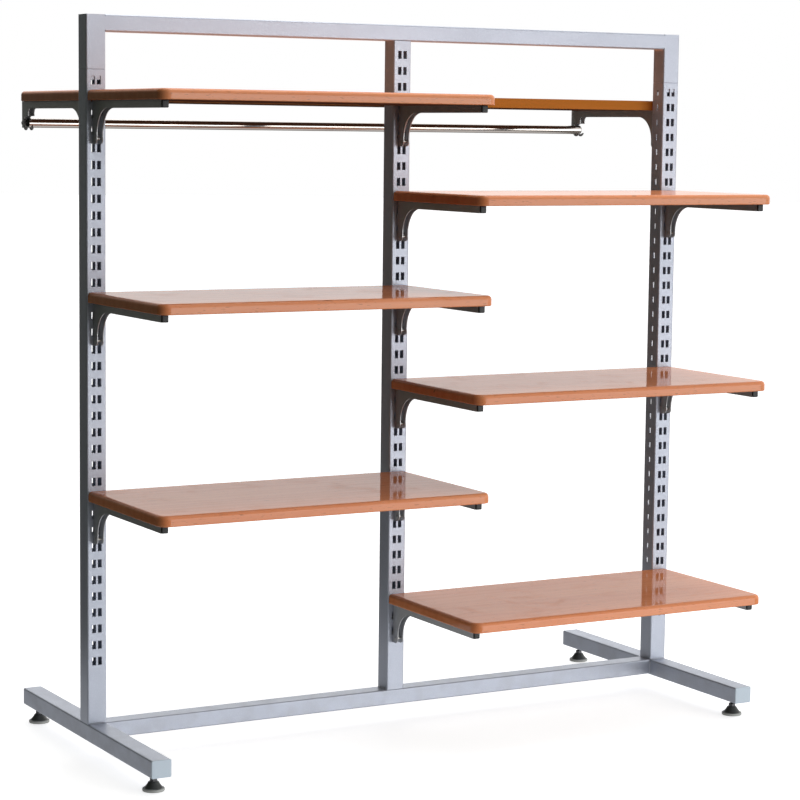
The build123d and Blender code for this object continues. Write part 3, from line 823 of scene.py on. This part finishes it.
class GONDOLA_OT_fasten_shelves(bpy.types.Operator):
    """Domed spacer rivets in the gussets and cross-recessed screws under the boards"""

    bl_idname = "gondola.fasten_shelves"
    bl_label = "Fasten the shelves"

    def rivet(self, mesh, low, high):
        centre = (low + high) / 2
        half = (high.x - low.x) / 2
        head, shank, rise = (high.z - low.z) / 2, 3.0 * MM, 1.2 * MM
        dome = soften([(0.2 * MM, 0.0), (0.62 * head, 0.12 * MM), (0.96 * head, 0.55 * rise),
                       (head, rise)], 0.9 * MM)
        end = list(dome) + [Vector((shank, rise))]
        outline = [(radius, height - half) for radius, height in end]
        outline += [(radius, half - height) for radius, height in reversed(end)]
        turned(mesh, outline, at(centre, "X"), count=32)

    def screw(self, mesh, low, high):
        """Pan head downwards; the recess is drawn on the rings near the head's middle."""
        centre = (low + high) / 2
        head, shank, rise = (high.x - low.x) / 2, 2.0 * MM, 2.2 * MM
        arm, half_width, recess = 0.52 * head, 0.45 * MM, 1.2 * MM
        count, steps = 48, 10
        foot, length = Vector((centre.x, centre.y, low.z)), high.z - low.z
        rings = []
        for step in range(steps + 1):
            ring = circle(max(0.06, step / steps) * arm * 1.15, count)
            for point in ring:
                narrow, wide = sorted((abs(point.x), abs(point.y)))
                point.z = recess if narrow < half_width and wide < arm else 0.0
            rings.append([foot + point for point in ring])
        pan = soften([(0.7 * head, 0.0), (0.92 * head, 0.25 * rise), (head, 0.65 * rise), (head, rise)],
                     0.6 * MM)
        for radius, height in pan + [(shank, rise), (shank, length - 1.5 * MM), (0.3 * MM, length)]:
            rings.append([foot + Vector((0, 0, height)) + point for point in circle(radius, count)])
        loft(mesh, rings)

    def execute(self, context):
        for shelf in SHELVES + ["rear_shelf"]:
            mesh = bmesh.new()
            for low, high in solids(f"{shelf}_fasteners"):
                if high.x - low.x > high.z - low.z:
                    self.rivet(mesh, low, high)
                else:
                    self.screw(mesh, low, high)
            piece = add_piece(f"{shelf}_rivets_and_screws", mesh, zinc(), shelf)
            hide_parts(f"{shelf}_fasteners")
        return {"FINISHED"}


class GONDOLA_OT_hang_rail(bpy.types.Operator):
    """Chrome on the hang rail, domed caps in its ends, and the thumb screws that retain it"""

    bl_idname = "gondola.hang_rail"
    bl_label = "Finish the hang rail"

    def caps(self):
        mesh = bmesh.new()
        rail_low, rail_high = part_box("hang_rail")
        for low, high in solids("hang_rail_caps"):
            outward = 1 if high.x > rail_high.x else -1
            face = outermost(outward, rail_low.x, rail_high.x)
            flange = abs(outermost(outward, low.x, high.x) - face)
            plug = (high.x - low.x) - flange
            radius, tube_wall = (high.z - low.z) / 2, 1.6 * MM
            bore = radius - tube_wall
            outline = [(bore - 0.8 * MM, -plug), (bore, -plug + 1.0 * MM), (bore, 0.0), (radius, 0.0)]
            outline += soften([(radius, 0.4 * flange), (0.93 * radius, 0.85 * flange), (0.5 * radius, flange),
                               (0.1 * radius, flange)], 1.5 * MM)
            centre = (face, (low.y + high.y) / 2, (low.z + high.z) / 2)
            turned(mesh, outline, at(centre, "X" if outward > 0 else "-X"))
        piece = add_piece("domed_rail_caps", mesh, plug_plastic(), "hang_rail_assembly")
        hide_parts("hang_rail_caps")

    def thumb_screw(self, side, sizes):
        low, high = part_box(f"{side}_retaining_screw")
        centre = (low + high) / 2
        head, thickness, shank = (high.x - low.x) / 2, 4.5 * MM, 2.5 * MM
        teeth, pitch = sizes.knurl_teeth, 2.4 * MM

        def knurled(reach, angle, height):
            if reach < 0.9 * head:
                return reach
            waves = [teeth * angle / (2 * math.pi) + slant * height / pitch for slant in (1, -1)]
            crest = min(abs(2 * (wave % 1.0) - 1) for wave in waves)
            return reach - 0.35 * MM * (1 - crest)

        mesh = bmesh.new()
        into_head = 0.5 * MM
        shank_length = high.y - low.y - thickness + into_head
        place = at((centre.x, low.y, centre.z), "Y")
        threaded(mesh, place, shank, sizes.screw_thread, shank_length)
        rim, dish = 0.7 * MM, 0.5 * MM
        steps = 12
        side_heights = [rim + (thickness - 2 * rim) * number / steps for number in range(steps + 1)]
        outline = [(0.3 * head, 0.0), (head - rim, 0.0)] + [(head, height) for height in side_heights]
        outline += [(head - rim, thickness), (0.62 * head, thickness), (0.55 * head, thickness - dish),
                    (0.1 * head, thickness - dish)]
        head_place = at((centre.x, high.y - thickness, centre.z), "Y")
        turned(mesh, outline, head_place, count=teeth * 4, shape=knurled)
        piece = add_piece(f"{side}_thumb_screw", mesh, zinc(), f"{side}_rail_screw")
        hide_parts(f"{side}_retaining_screw")

    def execute(self, context):
        chrome = finish_named("drawn_chrome", drawn_chrome, context.scene.gondola_colours)
        paint_nodes(["hang_rail"], chrome)
        self.caps()
        for side in SIDES:
            self.thumb_screw(side, context.scene.gondola_sizes)
        return {"FINISHED"}


class GONDOLA_OT_stage(bpy.types.Operator):
    """Pale floor, soft studio light and the camera"""

    bl_idname = "gondola.stage"
    bl_label = "Set the stage"

    def camera(self, scene, stage):
        data = bpy.data.cameras.new("camera")
        data.sensor_width = 36.0
        data.lens = stage.lens
        ahead = Vector((math.sin(stage.heading) * math.cos(stage.drop),
                        math.cos(stage.heading) * math.cos(stage.drop), -math.sin(stage.drop)))
        level = ahead.cross(Vector((0, 0, 1))).normalized()
        upright = level.cross(ahead)
        right = math.cos(stage.roll) * level + math.sin(stage.roll) * upright
        above = math.cos(stage.roll) * upright - math.sin(stage.roll) * level
        turn = Matrix((right, above, -ahead)).transposed().to_4x4()
        camera = bpy.data.objects.new("camera", data)
        camera.matrix_world = Matrix.Translation(stage.camera_place) @ turn
        scene.collection.objects.link(camera)
        scene.camera = camera

    def panel_light(self, scene, name, power, size, place, target):
        data = bpy.data.lights.new(name, "AREA")
        data.shape = "RECTANGLE"
        data.size, data.size_y = size
        data.energy = power
        light = bpy.data.objects.new(name, data)
        light.location = place
        light.rotation_euler = (target - place).to_track_quat("-Z", "Y").to_euler()
        scene.collection.objects.link(light)
        return light

    def lights(self, scene, stage):
        """A soft panel in front, low and to the right, one overhead, and a card below for the shadows."""
        high = cad_box[1]
        target = Vector((0.0, 0.0, 0.3 * high.z))
        distance, way = 5.2, Vector((0.49, -0.87, 0.0))
        self.panel_light(scene, "key_light", stage.key, (3.2, 3.0), target + distance * way, target)
        above = Vector((0.4, 0.2, 2.6 * high.z))
        self.panel_light(scene, "top_light", stage.top, (2.6, 2.0), above, target)
        below = Vector((0.15, -0.2, -0.03))
        upward = below + Vector((0, 0, 1))
        card = self.panel_light(scene, "bounce_card", stage.bounce, (2.6, 2.2), below, upward)
        card.data.color = (0.97, 0.97, 1.0)
        card.visible_camera = False

    def surround(self, scene, stage):
        """Pale all round, brighter behind, dimmer from below, with a dark flag at the rack's left end."""
        world = bpy.data.worlds.new("studio")
        scene.world = world
        made = Finish(world, "ShaderNodeOutputWorld")
        way = made.node("ShaderNodeTexCoord", {}, {}, "Generated")
        across, rise = made.part(way, "X"), made.part(way, "Z")
        pale = (stage.fill,) * 3
        behind = made.step(made.part(way, "Y"), 0.1, 0.7)
        pale = made.mix(behind, pale, (stage.behind,) * 3)
        lit = made.mix(made.step(across, -0.45, 0.35), tuple(stage.flag), pale)
        lit = made.mix(made.step(0 - rise, 0.02, 0.25), lit, tuple(stage.below), "MULTIPLY")
        glow = made.node("ShaderNodeBackground", {}, {"Color": lit, "Strength": 1.0})
        seen = made.node("ShaderNodeLightPath", {}, {}, "Is Camera Ray")
        backdrop = made.node("ShaderNodeBackground", {}, {"Color": (1.0, 1.0, 1.0), "Strength": 1.0})
        mixed = made.node("ShaderNodeMixShader", {}, {0: seen, 1: glow, 2: backdrop})
        made.tree.links.new(mixed.out, made.output.inputs["Surface"])

    def floor(self, scene):
        """Large pale disc that glows as the backdrop does, and sends no light or shadow onto the rack."""
        mesh = bmesh.new()
        radii = [0.5, 1.0, 2.0, 4.0, 8.0, 16.0, 40.0]
        turned(mesh, [(radius, 0.0) for radius in radii], Matrix.Identity(4), count=96)
        data = bpy.data.meshes.new("floor")
        mesh.to_mesh(data)
        mesh.free()
        floor = bpy.data.objects.new("floor", data)
        scene.collection.objects.link(floor)
        made = Finish(bpy.data.materials.new("pale_floor"), "ShaderNodeOutputMaterial")
        cloud = made.noise(made.place(), 1.5, detail=4.0)
        tone = made.mix(0.25 * cloud, (0.93, 0.93, 0.93), (0.88, 0.88, 0.885))
        data.materials.append(made.surface({"Base Color": tone, "Roughness": 0.55 + 0.2 * cloud,
                                            "Emission Color": tone, "Emission Strength": 0.72}))
        floor.visible_diffuse = False
        floor.visible_glossy = False
        floor.visible_shadow = False

    def execute(self, context):
        scene = context.scene
        scene.view_settings.view_transform = "Standard"
        self.camera(scene, scene.gondola_stage)
        self.lights(scene, scene.gondola_stage)
        self.surround(scene, scene.gondola_stage)
        self.floor(scene)
        return {"FINISHED"}


OPERATORS = (GONDOLA_OT_paint_frame, GONDOLA_OT_weld_frame, GONDOLA_OT_cap_feet, GONDOLA_OT_levelling_feet,
             GONDOLA_OT_finish_boards, GONDOLA_OT_finish_brackets, GONDOLA_OT_fasten_shelves,
             GONDOLA_OT_hang_rail, GONDOLA_OT_stage)
GROUPS = {"gondola_colours": GondolaColours, "gondola_sizes": GondolaSizes, "gondola_stage": GondolaStage}


class GONDOLA_PT_panel(bpy.types.Panel):
    """Sizes, colours and steps of the shelving unit"""

    bl_idname = "GONDOLA_PT_panel"
    bl_label = "Gondola shelving unit"
    bl_space_type = "VIEW_3D"
    bl_region_type = "UI"
    bl_category = "Gondola"

    def draw(self, context):
        for operator in OPERATORS:
            self.layout.operator(operator.bl_idname)
        for name, group in GROUPS.items():
            box = self.layout.box()
            for value in group.__annotations__:
                box.prop(getattr(context.scene, name), value)


def register():
    for group in GROUPS.values():
        bpy.utils.register_class(group)
    for operator in OPERATORS:
        bpy.utils.register_class(operator)
    bpy.utils.register_class(GONDOLA_PT_panel)
    for name, group in GROUPS.items():
        setattr(bpy.types.Scene, name, PointerProperty(type=group))


def unregister():
    for name in GROUPS:
        delattr(bpy.types.Scene, name)
    bpy.utils.unregister_class(GONDOLA_PT_panel)
    for operator in reversed(OPERATORS):
        bpy.utils.unregister_class(operator)
    for group in GROUPS.values():
        bpy.utils.unregister_class(group)


def main():
    register()
    bpy.ops.gondola.stage()
    bpy.ops.gondola.paint_frame()
    bpy.ops.gondola.weld_frame()
    bpy.ops.gondola.cap_feet()
    bpy.ops.gondola.levelling_feet()
    bpy.ops.gondola.finish_boards()
    bpy.ops.gondola.finish_brackets()
    bpy.ops.gondola.fasten_shelves()
    bpy.ops.gondola.hang_rail()


if __name__ == "__main__":
    main()
